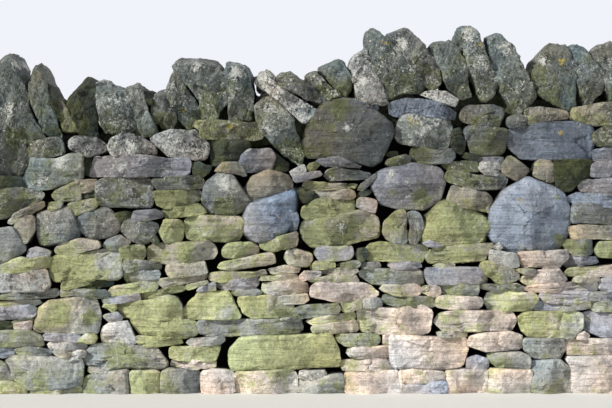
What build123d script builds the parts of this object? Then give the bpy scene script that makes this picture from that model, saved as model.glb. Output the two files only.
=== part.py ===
from build123d import *
from math import radians, tan
import os

# Dry stone field wall, millimetres. X runs along the wall, Y through it with the front at -Y, Z up.
# The origin is on the ground under the middle of the wall.

wall_length = 3000
base_width = 650
footing_width = 720
batter = 0.11
skin_depth = 170
joint_gap = 4
tie_length = 200
shortest_stone = 90
cover_overhang = 8
worn_arris = 10
filler_setback = 12

# How far the faces of the stones in a course stand out of the wall's plane, from left to right.
face_steps = [0, 12, -8, 6, -4, 14, 2, -10]

cope_gap = 3
cope_overhang = 4
cope_side_slope = 0.16
cope_shoulder = 62
cope_edge = 14
thinnest_cope = 60

half_length = wall_length / 2
middle = half_length - tie_length

# Beds are the levels that the stones of a course are laid to. Each has its height at six stations
# along the wall, straight in between. The ground is level.
stations = [share * half_length for share in (-1, -0.6, -0.2, 0.2, 0.6, 1)]
ground = [0, 0, 0, 0, 0, 0]
first_bed = [140, 140, 84, 104, 128, 160]
second_bed = [248, 232, 224, 232, 220, 216]
third_bed = [372, 372, 292, 336, 324, 324]
fourth_bed = [480, 436, 404, 432, 428, 456]
fifth_bed = [588, 564, 536, 524, 500, 520]
sixth_bed = [736, 732, 708, 732, 704, 680]
seventh_bed = [868, 860, 880, 908, 912, 920]
cover_bed = [936, 948, 1012, 1088, 1080, 1088]
cope_seat = [1008, 1020, 1084, 1164, 1152, 1164]

# Each course lies between two beds. Its stones are laid from the left, with these lengths, and its
# built ends are closed either by a tie across the wall or by a filler between the skins.
footing = (ground, first_bed, [200, 412, 304, 288, 316, 356, 280, 240, 304, 300])
courses = {
    "course_1": (first_bed, second_bed, [186, 218, 332, 240, 440, 216, 308, 252, 180, 220]),
    "course_2": (second_bed, third_bed, [196, 220, 256, 188, 196, 420, 228, 304, 348, 252, 232, 160]),
    "course_3": (third_bed, fourth_bed, [292, 172, 336, 216, 288, 300, 212, 192, 204, 220, 160]),
    "course_4": (fourth_bed, fifth_bed, [170, 298, 292, 156, 192, 208, 224, 176, 224, 264, 152, 180, 220, 244]),
    "course_5": (fifth_bed, sixth_bed, [124, 96, 152, 204, 232, 244, 192, 172, 176, 176, 260, 324, 240]),
    "course_6": (sixth_bed, seventh_bed, [196, 168, 292, 232, 192, 150, 240, 226, 364, 196, 264, 280, 200]),
    "course_7": (seventh_bed, cover_bed, [172, 232, 100, 328, 204, 256, 352, 248, 212, 348, 140]),
}
covers = (cover_bed, cope_seat, [176, 220, 144, 168, 168, 200, 248, 164, 344, 268, 196, 264, 216, 224])

# Cope stones, from left to right: thickness at the foot, height above the seat, and how far the left
# and the right side lean to the left, in degrees. The small ones are wedges, driven in last.
copes = [
    ("stone", 124, 325, 0, 3.5),
    ("stone", 104, 290, 3.5, 9),
    ("stone", 144, 315, 8, 18),
    ("stone", 76, 350, 16.5, 19.5),
    ("stone", 68, 300, 11, 15),
    ("wedge", 72, 160, 12.5, 21.5),
    ("stone", 88, 240, 9.5, 4),
    ("stone", 152, 210, 2, 15),
    ("stone", 72, 200, 14.5, 14.5),
    ("wedge", 88, 160, 8.5, 10),
    ("stone", 88, 232, 8, 22.5),
    ("stone", 112, 272, 22.5, 5),
    ("stone", 104, 236, 3, 5),
    ("wedge", 136, 100, 0, 33),
    ("stone", 128, 190, 33, 47),
    ("stone", 56, 150, 47, 43),
    ("wedge", 44, 152, 37, 35),
    ("stone", 48, 182, 29, 18),
    ("stone", 112, 218, 5, 17.5),
    ("stone", 160, 296, 13, 30),
    ("stone", 64, 304, 26, 21),
    ("stone", 124, 252, 7, 14),
    ("stone", 112, 328, 7.5, 13.5),
    ("stone", 144, 284, 6.5, 23),
    ("stone", 160, 244, -4.5, 4),
    ("stone", 120, 240, 0, 15),
    ("stone", 120, 244, 7.5, 12),
    ("stone", 96, 216, 8.5, 14.5),
    ("stone", 84, 256, 10.5, 15.5),
]


def height_at(bed, x):
    """Height of a bed at a place along the wall."""
    for i in range(len(stations) - 1):
        if x <= stations[i + 1]:
            break
    share = (x - stations[i]) / (stations[i + 1] - stations[i])
    return bed[i] + share * (bed[i + 1] - bed[i])


def bed_line(bed, left, right):
    """Points of a bed from left to right, with the stations it passes."""
    places = [left] + [x for x in stations if left < x < right] + [right]
    return [(x, height_at(bed, x)) for x in places]


def across(points):
    """A prism through the wall from an outline seen from the front."""
    outline = Polygon(*points, align=None)
    return extrude(Plane.XZ * outline, amount=footing_width, both=True)


def along(points):
    """A prism along the wall from an outline of its cross section."""
    outline = Polygon(*points, align=None)
    return extrude(Plane.YZ * outline, amount=half_length, both=True)


def half_width(z):
    """Distance from the middle of the wall to its battered face."""
    return base_width / 2 - batter * z


def whole_section(step):
    """Cross section between the two faces, each moved out by a step."""
    top = max(cope_seat)
    low, high = half_width(0) + step, half_width(top) + step
    return along([(-low, 0), (-high, top), (high, top), (low, 0)])


def front_section(low, high):
    """Cross section from a front line, given at the ground and the top, to the hearting."""
    top = max(cope_seat)
    inner_low, inner_high = half_width(0) - skin_depth, half_width(top) - skin_depth
    return along([(-low, 0), (-high, top), (-inner_high, top), (-inner_low, 0)])


def spans(start, end, lengths, shortest):
    """Left and right edge of each piece laid from start to end, the pattern repeated as needed."""
    laid = []
    left = start
    while left < end:
        right = left + lengths[len(laid) % len(lengths)]
        if right > end - shortest:
            right = end
        laid.append((left, right))
        left = right
    return laid


def stone(lower, upper, left, right, form):
    """One stone between two beds, cut to a cross section."""
    column = across(bed_line(lower, left, right) + bed_line(upper, left, right)[::-1])
    return (column & form).solids()


def worn(piece, *faces):
    """A stone with the arrises of these faces worn off: each face stands forward, drawn in all round."""
    for face in faces:
        piece += extrude(face, amount=worn_arris, taper=45)
    return piece.solids()


def worn_front(piece):
    """A stone of the front skin with its face worn."""
    return worn(piece, piece.faces().sort_by(Axis.Y)[0])


def worn_through(piece):
    """A stone that shows on both sides, with both faces worn."""
    faces = piece.faces().sort_by(Axis.Y)
    return worn(piece, faces[0], faces[-1])


def worn_head(piece):
    """A tie at a built end, with both faces and its end worn."""
    faces = piece.faces().sort_by(Axis.Y)
    ends = piece.faces().sort_by(Axis.X)
    end = ends[0] if piece.center().X < 0 else ends[-1]
    return worn(piece, faces[0], faces[-1], end)


def row(lower, upper, places, forms):
    """Stones side by side between two beds, with an open joint between each two, cut to the cross
    sections in turn."""
    start, end = places[0][0], places[-1][1]
    stones = []
    for index, (left, right) in enumerate(places):
        inner_left = left if left == start else left + joint_gap / 2
        inner_right = right if right == end else right - joint_gap / 2
        stones.append(stone(lower, upper, inner_left, inner_right, forms[index % len(forms)]))
    return stones


def cope(left, right, height, left_lean, right_lean):
    """A leaning cope stone: set on edge across the wall, thinner and rounded at its top."""
    seat = bed_line(cope_seat, left, right)
    top = max(z for _, z in seat) + height
    rise_left, rise_right = top - seat[0][1], top - seat[-1][1]
    top_left = max(left - rise_left * tan(radians(left_lean)), -half_length)
    top_right = right - rise_right * tan(radians(right_lean))
    front = Polygon(*seat, (top_right, top), (top_left, top), align=None)
    crown = front.vertices().group_by(Axis.Y)[-1]
    front = fillet(crown, min(cope_edge, 0.3 * (top_right - top_left)))
    slab = extrude(Plane.XZ * front, amount=footing_width, both=True)

    base = min(z for _, z in seat)
    half_foot = half_width(base) + cope_overhang
    half_top = half_foot - cope_side_slope * (top - base)
    side = Polygon((-half_foot, base), (half_foot, base), (half_top, top), (-half_top, top), align=None)
    shoulders = side.vertices().group_by(Axis.Y)[-1]
    side = fillet(shoulders, min(cope_shoulder, 0.45 * height))
    return (slab & extrude(Plane.YZ * side, amount=half_length, both=True)).solids()


def save(stones, name):
    """Write the solids of one node."""
    export_step(Compound(stones), f"parts/{name}.step")


def save_skins(stones, front_name, back_name):
    """Write a course of the front, and the same course laid in the back."""
    pieces = [worn_piece for solids in stones for piece in solids for worn_piece in worn_front(piece)]
    save(pieces, front_name)
    save([mirror(piece, Plane.XZ) for piece in pieces], back_name)


os.makedirs("parts", exist_ok=True)

# Cross sections, each drawn back by the depth that the worn arrises add in front of it.
face_low, face_high = half_width(0) - worn_arris, half_width(max(cope_seat)) - worn_arris
skins = [front_section(face_low + step, face_high + step) for step in face_steps]
footing_face = footing_width / 2 - worn_arris
stepped_skin = front_section(footing_face, footing_face)
core = whole_section(-skin_depth)
full = whole_section(-worn_arris)

# The built ends: long ties in every other course, and fillers between the skins, set back from the
# end, in the rest.
tie_end, filler_end = half_length - worn_arris, half_length - filler_setback
tie_places = [(-tie_end, -middle), (middle, tie_end)]
filler_places = [(-filler_end, -middle), (middle, filler_end)]
ties = []
fillers = []

# The footing: large stones laid flat, stepping out past both faces of the wall.
lower, upper, lengths = footing
blocks = row(lower, upper, spans(-half_length, half_length, lengths, shortest_stone), [stepped_skin])
save_skins(blocks, "footing_front", "footing_back")
for left, right in filler_places:
    fillers += stone(lower, upper, left, right, core)

# The two skins: courses of walling stone, battered inwards, with the back laid like the front. In the
# fifth course every fourth stone runs through from face to face, and ties the skins together.
throughs = []
for number, (name, (lower, upper, lengths)) in enumerate(courses.items(), start=1):
    tied = number % 2 == 1
    reach = middle - joint_gap if tied else half_length
    places = spans(-reach, reach, lengths, shortest_stone)
    stones = row(lower, upper, places, skins[number:] + skins[:number])
    if name == "course_5":
        for left, right in places[2::4]:
            for piece in stone(lower, upper, left + joint_gap / 2, right - joint_gap / 2, full):
                throughs += worn_through(piece)
        del stones[2::4]
    save_skins(stones, f"front_{name}", f"back_{name}")
    for left, right in tie_places if tied else filler_places:
        if tied:
            for piece in stone(lower, upper, left, right, full):
                ties += worn_head(piece)
        else:
            fillers += stone(lower, upper, left, right, core)
save(throughs, "through_stones")
save(ties, "head_ties")
save(fillers, "head_fillers")

# Hearting: the packed rubble between the skins, with a way through for each through stone.
outline = bed_line(ground, -middle, middle) + bed_line(cover_bed, -middle, middle)[::-1]
hearting = across(outline) & core
for piece in throughs:
    hearting -= piece
save(hearting.solids(), "hearting")

# Cover stones: flat slabs that bridge both skins and carry the cope.
lower, upper, lengths = covers
cover_section = whole_section(cover_overhang - worn_arris)
slabs = row(lower, upper, spans(-half_length, half_length, lengths, shortest_stone), [cover_section])
save([worn_piece for solids in slabs for piece in solids for worn_piece in worn_through(piece)], "cover_stones")

# The cope: stones set on edge across the wall, all leaning the same way.
wedges = []
feet = spans(-half_length, half_length, [thickness for _, thickness, *_ in copes], thinnest_cope)
for index, (left, right) in enumerate(feet):
    kind, _, height, left_lean, right_lean = copes[index % len(copes)]
    trim = cope_gap if right < half_length else 0
    piece = cope(left, right - trim, height, left_lean, right_lean)
    if kind == "wedge":
        wedges += piece
    else:
        save(piece, f"cope_{index + 1:02d}")
save(wedges, "cope_wedges")
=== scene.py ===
import math
import random

import bmesh
import bpy
from mathutils import Matrix, Vector, noise


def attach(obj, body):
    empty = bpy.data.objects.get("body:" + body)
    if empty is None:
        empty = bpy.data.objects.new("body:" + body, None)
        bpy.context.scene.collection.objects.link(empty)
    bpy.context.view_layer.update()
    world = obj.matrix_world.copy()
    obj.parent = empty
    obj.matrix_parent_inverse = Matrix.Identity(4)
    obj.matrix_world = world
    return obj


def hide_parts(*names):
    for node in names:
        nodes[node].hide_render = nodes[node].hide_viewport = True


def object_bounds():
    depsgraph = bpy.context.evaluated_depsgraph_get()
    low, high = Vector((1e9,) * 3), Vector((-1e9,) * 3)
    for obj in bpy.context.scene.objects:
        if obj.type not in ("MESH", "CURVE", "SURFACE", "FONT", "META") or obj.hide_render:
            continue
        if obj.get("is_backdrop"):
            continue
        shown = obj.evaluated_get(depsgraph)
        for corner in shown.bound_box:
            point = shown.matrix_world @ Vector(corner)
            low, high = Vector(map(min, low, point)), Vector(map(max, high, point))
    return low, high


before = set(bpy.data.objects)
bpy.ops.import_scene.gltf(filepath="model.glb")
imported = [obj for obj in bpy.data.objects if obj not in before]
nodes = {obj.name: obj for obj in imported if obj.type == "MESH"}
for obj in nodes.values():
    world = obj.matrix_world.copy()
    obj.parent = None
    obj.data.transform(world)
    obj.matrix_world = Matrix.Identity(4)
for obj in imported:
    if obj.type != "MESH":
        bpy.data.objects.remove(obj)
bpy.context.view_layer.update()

# Footing stones
# Big rough blocks of gritstone bedded in a shallow trench, one row to each face. They stand a hand's
# breadth proud of the walling and are green with algae from the damp ground.
pixel = 0.004
picture_middle = (306, 204)
eye_height = 0.752
eye_distance = 6.27
face_distance = 6.0
base_half_width = 0.325
batter = 0.11
skin_depth = 0.165
footing_half_width = 0.348
wall_end = 1.498
wall_top = 1.484
crease = math.radians(18)

TONES = {
    "G": (0.272, 0.288, 0.285),
    "B": (0.300, 0.355, 0.450),
    "Y": (0.470, 0.448, 0.400),
    "T": (0.450, 0.430, 0.370),
    "P": (0.560, 0.500, 0.465),
    "M": (0.355, 0.362, 0.405),
    # D is near-black: painted shade for stones set back in the dark hollows.
    "D": (0.085, 0.105, 0.085),
    "W": (0.520, 0.520, 0.520),
    "C": (0.270, 0.315, 0.305),
}
SHADES = {"": 1.0, "-": 0.76, "+": 1.24}
GROWTH = {
    "G": (0.55, 0.45, 0.0),
    "B": (0.20, 0.25, 0.0),
    "Y": (0.85, 0.30, 0.0),
    "T": (0.50, 0.30, 0.0),
    "P": (0.40, 0.25, 0.0),
    "M": (0.30, 0.40, 0.0),
    "D": (0.60, 0.15, 0.0),
    "W": (0.20, 0.75, 0.0),
    "C": (0.50, 0.50, 0.0),
}


def half_width(z):
    """Distance from the middle of the wall to its battered face."""
    return base_half_width - batter * z


def on_face(spot):
    """The place on the battered front face of a spot of the photograph, as (x, z)."""
    per_metre = pixel / face_distance
    rise = (picture_middle[1] - spot[1]) * per_metre
    away = (eye_distance - base_half_width + batter * eye_height) / (1 - batter * rise)
    return Vector(((spot[0] - picture_middle[0]) * per_metre * away, max(0.0, eye_height + rise * away)))


def worn(corners, cut, times):
    """The corners of an outline, cut off at a distance, a number of times."""
    for turn in range(times):
        left = []
        for a, b in zip(corners, corners[1:] + corners[:1]):
            share = min(0.25, cut / max((b - a).length, 1e-6))
            left += [a.lerp(b, share), a.lerp(b, 1 - share)]
        corners = left
    return corners


ALGAE, LICHEN, RUST = 0, 1, 2
growth_marks = [
    (LICHEN, 108, 262, 14), (LICHEN, 199, 251, 9), (LICHEN, 224, 182, 12), (LICHEN, 250, 200, 8),
    (LICHEN, 347, 129, 7), (LICHEN, 391, 175, 8), (LICHEN, 342, 228, 8), (LICHEN, 88, 302, 8),
    (LICHEN, 510, 274, 7), (LICHEN, 266, 108, 9), (LICHEN, 268, 130, 7), (LICHEN, 8, 112, 12),
    (LICHEN, 60, 162, 11), (LICHEN, 40, 180, 9), (LICHEN, 130, 145, 11), (LICHEN, 14, 62, 9),
    (LICHEN, 545, 60, 10), (LICHEN, 400, 45, 9), (LICHEN, 195, 66, 12), (LICHEN, 238, 72, 9),
    (LICHEN, 470, 34, 10), (LICHEN, 505, 45, 9), (LICHEN, 120, 166, 8), (LICHEN, 165, 168, 9),
    (RUST, 280, 217, 4), (RUST, 412, 122, 9), (RUST, 560, 133, 7), (RUST, 520, 201, 7), (RUST, 556, 215, 4),
    (RUST, 385, 43, 7), (RUST, 562, 60, 9), (RUST, 470, 30, 5), (RUST, 308, 267, 6), (RUST, 535, 120, 5),
    (RUST, 230, 126, 6), (RUST, 184, 112, 5), (RUST, 100, 120, 4), (RUST, 480, 45, 5),
    (ALGAE, 90, 318, 12), (ALGAE, 225, 206, 14), (ALGAE, 310, 250, 8), (ALGAE, 420, 198, 14),
    (ALGAE, 557, 197, 6), (ALGAE, 560, 240, 12), (ALGAE, 14, 142, 16), (ALGAE, 110, 130, 10),
    (ALGAE, 295, 150, 12), (ALGAE, 212, 112, 10), (ALGAE, 80, 266, 18), (ALGAE, 280, 355, 30),
    (ALGAE, 235, 356, 26), (ALGAE, 120, 357, 20), (ALGAE, 160, 328, 20), (ALGAE, 340, 238, 14),
    (ALGAE, 455, 225, 16), (ALGAE, 185, 252, 14), (ALGAE, 340, 110, 14), (ALGAE, 60, 315, 14),
]
GROWTH_SPOTS = [(kind, on_face((x, y)), radius * pixel) for kind, x, y, radius in growth_marks]


def trimmed(corners, tolerance):
    """The corners of an outline without those that hardly turn it, so that its sides run straight."""
    corners = list(corners)
    while len(corners) > 5:
        bends = []
        for i, corner in enumerate(corners):
            a, b = corners[i - 1], corners[(i + 1) % len(corners)]
            side = (b - a).normalized()
            off = corner - a
            bends.append((abs(off.x * side.y - off.y * side.x), i))
        if min(bends)[0] > tolerance:
            break
        corners.pop(min(bends)[1])
    return corners


def spaced(outline, count):
    """The same closed line as evenly spaced points, anticlockwise from the front."""
    area = sum(a.x * b.y - b.x * a.y for a, b in zip(outline, outline[1:] + outline[:1]))
    if area < 0:
        outline = outline[::-1]
    sides = [(b - a).length for a, b in zip(outline, outline[1:] + outline[:1])]
    step = sum(sides) / count
    points = []
    side, gone = 0, 0.0
    for i in range(count):
        want = i * step
        while gone + sides[side] < want:
            gone += sides[side]
            side += 1
        a, b = outline[side], outline[(side + 1) % len(outline)]
        points.append(a.lerp(b, (want - gone) / max(sides[side], 1e-9)))
    for corner in outline:
        nearest = min(range(count), key=lambda i: (points[i] - corner).length)
        if (points[nearest] - corner).length < step * 0.5:
            points[nearest] = corner.copy()
    return points


def profile(face_rings, arris, depth, both_faces):
    """Rings of a stone from the middle of its face to its tail: share of the way out from the
    middle, inset from the outline, and depth behind the face."""
    rings = [((i / face_rings) ** 0.85, arris, 0.0) for i in range(face_rings + 1)]
    for turn in (30, 60, 90):
        angle = math.radians(turn)
        rings.append((1.0, arris * (1 - math.sin(angle)), arris * (1 - math.cos(angle))))
    if both_faces:
        middle = [(1.0, 0.0, depth * share) for share in (0.22, 0.36, 0.5)]
        front = rings + middle
        return front + [(out, inset, depth - back) for out, inset, back in front[-2::-1]]
    rings += [(1.0, 0.0, depth * 0.35), (0.98, 0.0, depth * 0.7), (0.90, 0.0, depth * 0.95)]
    return rings + [(0.55, 0.0, depth), (0.0, 0.0, depth)]


def broken(spot):
    """How far the broken surface of the rock stands out at a place, in metres. It breaks in flat flakes
    that tilt at random."""
    coarse = 0.006 * noise.noise(spot * 7)
    cell = noise.voronoi(spot * 11)[1][0]
    flakes = 0.045 * (spot * 11 - cell).dot(noise.noise_vector(cell * 5.3)) * 0.45
    ridges = 0.007 * abs(noise.noise(spot * 24))
    beds = 0.0032 * noise.noise(Vector((spot.x * 5, spot.y * 5, spot.z * 60)))
    fine = 0.0024 * noise.noise(spot * 48)
    return coarse + flakes - ridges + beds + fine


def lay_stone(bm, tone, arris, outline, face, depth, seed, both_faces=False, spacing=0.0095, side_wear=0.3,
              grow=0.0042, swell=0.0, shoulder=None, rough=1.0, ragged=0.45, exposed=False):
    """One stone in the mesh. Outline is (x, z) points, face the y of its front at its middle, and depth
    runs in from there, to the far face where both faces show."""
    dice = random.Random(seed)
    outline = worn(trimmed([Vector(p) for p in outline], 0.0065), min(0.006, arris * 0.4), 1)
    around = sum((a - b).length for a, b in zip(outline, outline[1:] + outline[:1]))
    count = max(18, min(110, int(around / spacing)))
    points = spaced(outline, count)
    inward = []
    for i in range(count):
        run = points[(i + 1) % count] - points[i - 1]
        inward.append(Vector((-run.y, run.x)).normalized())
    points = [point - way * (grow + 0.25 * min(arris, 0.02)) for point, way in zip(points, inward)]
    middle = sum(points, Vector((0, 0))) / count
    area = abs(sum(a.x * b.y - b.x * a.y for a, b in zip(points, points[1:] + points[:1]))) / 2
    thin = 2 * area / around
    dome = thin * max(0.04, min(0.32, (arris - 0.009) * 15))
    arris = min(arris * 0.75, thin * 0.32)
    rings = profile(max(3, min(11, int(thin / spacing * 0.9))), arris, abs(depth), both_faces)
    sign = 1 if depth > 0 else -1
    last = len(rings) - 1
    lean = Vector((dice.uniform(-0.07, 0.07), dice.uniform(-0.07, 0.07)))
    reach = max((p - middle).length for p in points)
    facets = []
    for flat in (True, True, True, True, False):
        angle = dice.uniform(0, math.tau)
        way = Vector((math.cos(angle), math.sin(angle)))
        side = max((p - middle).dot(way) for p in points)
        if flat:
            facets.append((way, side * dice.uniform(-0.2, 0.6), dice.uniform(0.2, 0.6)))
        else:
            facets.append((way, side * dice.uniform(0.6, 0.9), dice.uniform(0.7, 1.4)))
    shift = Vector((dice.uniform(-9, 9), dice.uniform(-9, 9), dice.uniform(-9, 9)))
    # Painted shade: each stone's colour is darker the higher it lies in the wall, on top of its random brightness and
    # tone variant.
    light = dice.uniform(0.88, 1.12) * SHADES[tone[1:]] * max(0.48, 1.42 - 0.96 * middle.y)
    red, green, blue = (value * light for value in TONES[tone[0]])
    warmth = Vector((dice.uniform(-0.14, 0.14), dice.uniform(-0.14, 0.14)))
    brightness = Vector((dice.uniform(-0.12, 0.12), dice.uniform(-0.12, 0.12)))
    green_side = Vector((dice.uniform(-0.3, 0.1), dice.uniform(-0.5, -0.1) if exposed else dice.uniform(-0.35, 0.1)))
    algae, lichen, rust = GROWTH[tone[0]]
    algae = max(0.0, min(1.0, algae + dice.uniform(-0.15, 0.15)))
    lichen = max(0.0, min(1.0, lichen + dice.uniform(-0.15, 0.15)))
    near = [spot for spot in GROWTH_SPOTS if (spot[1] - middle).length < spot[2] + reach]
    stone = new_mesh()
    tint = stone.verts.layers.float_color["tone"]
    spread = stone.verts.layers.float_color["growth"]
    bmesh.ops.create_uvsphere(stone, u_segments=count, v_segments=last, radius=1.0)
    for v in stone.verts:
        ring = round(math.acos(max(-1.0, min(1.0, v.co.z))) / math.pi * last)
        spot = round(math.atan2(v.co.y, v.co.x) / math.tau * count) % count
        out, inset, back = rings[ring]
        place = middle.lerp(points[spot] + inward[spot] * inset, out)
        offset = place - middle
        far = both_faces and back > abs(depth) / 2
        behind = abs(depth) - back if far else back
        show = max(0.0, 1 - behind / 0.05)
        sink = max(0.0, *(slope * (offset.dot(way) - start) for way, start, slope in facets))
        sink = min(sink, 0.035) + offset.dot(lean) + dome * ((offset.length / reach) ** 2 - 0.5)
        sink *= show
        if swell:
            place = middle + offset * (1 + swell * min(1.0, behind / 0.10))
        if shoulder:
            place = shoulder(place, back / abs(depth))
        v.co = (place.x, face + sign * (back - sink if far else back + sink), place.y)
        warm = warmth.dot(offset) / reach
        bright = 1 + brightness.dot(offset) / reach
        # Mask for the pale arrises: cleaner worn edges plus a painted highlight where the edges catch the light.
        edge = max(0.0, 1 - (1 - out) / 0.12) * max(0.0, 1 - behind / max(0.012, arris * 1.2))
        v[tint] = (red * bright * (1 + warm), green * bright, blue * bright * (1 - warm), edge)
        grown = [algae + green_side.dot(offset) / reach, lichen, rust]
        for kind, centre, radius in near:
            grown[kind] += 0.8 * max(0.0, 1 - (Vector((place.x, place.y)) - centre).length / radius)
        at_end = 1 - (wall_end - abs(place.x)) / 0.05
        # The fourth value is how much of the face shows; the material paints shade into the joints where it is low.
        v[spread] = (*grown, 1.0 if exposed else max(show, min(1.0, at_end)))
    if sign < 0:
        bmesh.ops.reverse_faces(stone, faces=stone.faces[:])
    stone.normal_update()
    for v in stone.verts:
        wear = v.normal * broken(v.co + shift) * (side_wear + (1 - side_wear) * v[spread][3]) * rough
        v.co += Vector((wear.x * ragged, wear.y, wear.z * ragged))
        v.co.z = max(0.0, min(wall_top, v.co.z))
        v.co.x = max(-wall_end, min(wall_end, v.co.x))
    stone.normal_update()
    for f in stone.faces:
        f.smooth = True
    for e in stone.edges:
        e.smooth = e.calc_face_angle(0.0) < crease
    single = bpy.data.meshes.new("stone")
    stone.to_mesh(single)
    stone.free()
    bm.from_mesh(single)
    bpy.data.meshes.remove(single)


def new_mesh():
    """An empty mesh with the layers that every stone fills."""
    bm = bmesh.new()
    bm.verts.layers.float_color.new("tone")
    bm.verts.layers.float_color.new("growth")
    return bm


def finish_piece(bm, name, material, slot, *replaced):
    """The mesh as a piece of the wall in place of CAD nodes."""
    mesh = bpy.data.meshes.new(name)
    bm.to_mesh(mesh)
    bm.free()
    mesh.materials.append(material)
    piece = bpy.data.objects.new(name, mesh)
    bpy.context.scene.collection.objects.link(piece)
    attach(piece, "root")
    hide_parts(*replaced)
    return piece


def node_group(name, inputs, outputs):
    """An empty shader group with its sockets."""
    group = bpy.data.node_groups.new(name, "ShaderNodeTree")
    for label, kind, value in inputs:
        socket = group.interface.new_socket(label, in_out="INPUT", socket_type=kind)
        if value is not None:
            socket.default_value = value
    for label, kind in outputs:
        group.interface.new_socket(label, in_out="OUTPUT", socket_type=kind)
    return group, group.nodes.new("NodeGroupInput"), group.nodes.new("NodeGroupOutput")


def math_node(tree, operation, a, b=None):
    """A Math node with its inputs linked or set."""
    node = tree.nodes.new("ShaderNodeMath")
    node.operation = operation
    for socket, value in zip(node.inputs, (a, b)):
        if value is None:
            continue
        if isinstance(value, (int, float)):
            socket.default_value = value
        else:
            tree.links.new(value, socket)
    return node.outputs[0]


def noise_node(tree, vector, scale, detail=3.0, rough=0.55, distortion=0.0):
    """A noise texture on a vector."""
    node = tree.nodes.new("ShaderNodeTexNoise")
    tree.links.new(vector, node.inputs["Vector"])
    node.inputs["Scale"].default_value = scale
    node.inputs["Detail"].default_value = detail
    node.inputs["Roughness"].default_value = rough
    node.inputs["Distortion"].default_value = distortion
    return node.outputs["Fac"]


def step_node(tree, value, low, high, to_low=0.0, to_high=1.0):
    """A smooth step of a value between two levels."""
    node = tree.nodes.new("ShaderNodeMapRange")
    node.interpolation_type = "SMOOTHSTEP"
    tree.links.new(value, node.inputs["Value"])
    for label, level in zip(("From Min", "From Max", "To Min", "To Max"), (low, high, to_low, to_high)):
        if isinstance(level, (int, float)):
            node.inputs[label].default_value = level
        else:
            tree.links.new(level, node.inputs[label])
    return node.outputs["Result"]


def mix_node(tree, share, a, b, blend="MIX"):
    """Two colours mixed."""
    node = tree.nodes.new("ShaderNodeMix")
    node.data_type = "RGBA"
    node.blend_type = blend
    for socket, value in zip((node.inputs[0], node.inputs[6], node.inputs[7]), (share, a, b)):
        if isinstance(value, (int, float)):
            socket.default_value = value
        elif isinstance(value, tuple):
            socket.default_value = (*value, 1.0)
        else:
            tree.links.new(value, socket)
    return node.outputs[2]


def grit_group():
    """Gritstone: coarse sand grains, soft patches and bedding, as a shade and a height."""
    group, come, go = node_group("gritstone", [("Vector", "NodeSocketVector", None),
                                               ("Coarse", "NodeSocketFloat", 1.0)],
                                 [("Shade", "NodeSocketFloat"), ("Height", "NodeSocketFloat"),
                                  ("Patch", "NodeSocketFloat")])
    vector = come.outputs["Vector"]
    patch = noise_node(group, vector, 11.0, 4.0, 0.6, 0.4)
    grain = noise_node(group, vector, 190.0, 3.0, 0.7)
    pits = noise_node(group, vector, 70.0, 4.0, 0.6)
    bed = group.nodes.new("ShaderNodeMapping")
    group.links.new(vector, bed.inputs["Vector"])
    bed.inputs["Scale"].default_value = (6.0, 6.0, 95.0)
    layers = noise_node(group, bed.outputs["Vector"], 1.0, 4.0, 0.6, 0.5)
    speckle = math_node(group, "ADD", step_node(group, grain, 0.3, 0.7, -0.42, 0.36),
                        step_node(group, pits, 0.3, 0.7, -0.38, 0.32))
    speckle = math_node(group, "MULTIPLY", speckle, come.outputs["Coarse"])
    shade = math_node(group, "ADD", step_node(group, patch, 0.25, 0.75, 0.70, 1.24), speckle)
    shade = math_node(group, "ADD", shade, step_node(group, layers, 0.34, 0.56, -0.22, 0.06))
    height = math_node(group, "ADD", math_node(group, "MULTIPLY", grain, 0.35), pits)
    height = math_node(group, "ADD", height, math_node(group, "MULTIPLY", layers, 0.8))
    group.links.new(shade, go.inputs["Shade"])
    group.links.new(height, go.inputs["Height"])
    group.links.new(patch, go.inputs["Patch"])
    return group


def crust_group():
    """Crustose lichen: ragged crusts that spread where the amount is high."""
    group, come, go = node_group(
        "lichen_crust",
        [("Vector", "NodeSocketVector", None), ("Scale", "NodeSocketFloat", 30.0),
         ("Amount", "NodeSocketFloat", 0.5)],
        [("Mask", "NodeSocketFloat")])
    blotch = group.nodes.new("ShaderNodeTexNoise")
    group.links.new(come.outputs["Vector"], blotch.inputs["Vector"])
    group.links.new(come.outputs["Scale"], blotch.inputs["Scale"])
    blotch.inputs["Detail"].default_value = 5.0
    blotch.inputs["Roughness"].default_value = 0.72
    blotch.inputs["Distortion"].default_value = 0.6
    reach = math_node(group, "ADD", blotch.outputs["Fac"], math_node(group, "MULTIPLY", come.outputs["Amount"], 0.3))
    group.links.new(step_node(group, reach, 0.70, 0.80), go.inputs["Mask"])
    return group


GRIT = grit_group()
CRUST = crust_group()


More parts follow.
